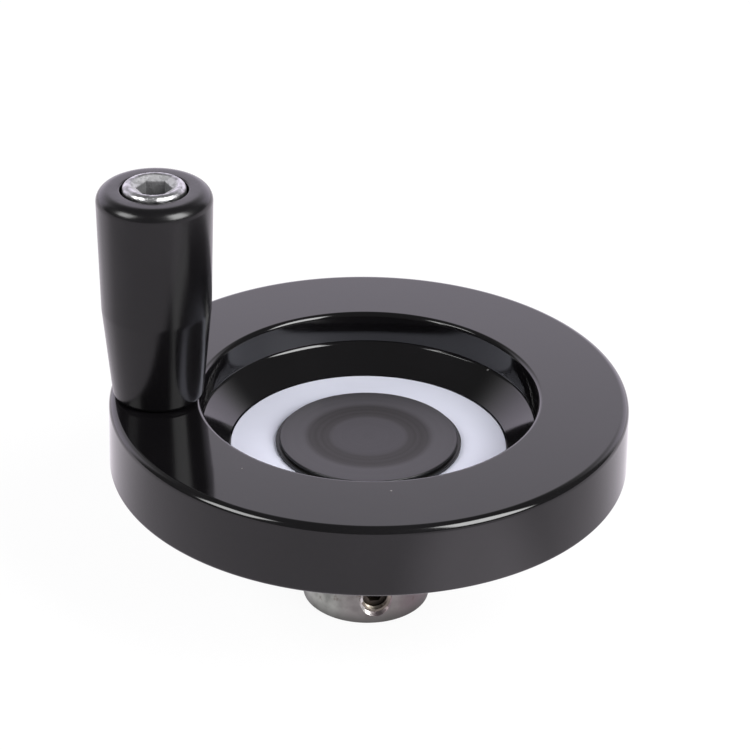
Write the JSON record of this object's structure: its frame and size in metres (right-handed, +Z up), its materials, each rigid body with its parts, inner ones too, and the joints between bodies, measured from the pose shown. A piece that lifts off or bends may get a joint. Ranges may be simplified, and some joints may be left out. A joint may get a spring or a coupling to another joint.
{
  "type": "machine handwheel",
  "caption": "Black moulded handwheel with a dished front, pale ring, centre cap, steel hub with set screw, and a revolving handle on its rim.",
  "frame": {"origin": "centre of the hub's lower face, on the shaft axis", "axes": "+Z up the shaft axis towards the handle's side, -X towards the handle, the set screw near -Y"},
  "size_m": [0.1017, 0.1004, 0.0892],
  "materials": {
    "phenolic": "glossy moulded black",
    "grip_phenolic": "glossy moulded black",
    "cap_plastic": "satin moulded black",
    "ring_metal": "matt anodised, pale",
    "hub_steel": "turned, dull, lightly stained",
    "plated_steel": "zinc plated over a forged head",
    "dark_steel": "black oxide",
    "brass": "turned"
  },
  "bodies": {
    "wheel": {"wheel_body": "phenolic", "hub_insert": "hub_steel", "set_screw": "dark_steel", "dial_ring": "ring_metal", "centre_cap": "cap_plastic", "handle_bush": "brass", "handle_pin": "plated_steel"},
    "grip": {"handle_grip": "grip_phenolic"}
  },
  "joints": [
    {"name": "grip_spin", "type": "hinge", "parent": "wheel", "child": "grip", "pos_m": [-0.04055, 0, 0.045], "axis": [0, 0, 1], "continuous": true}
  ]
}
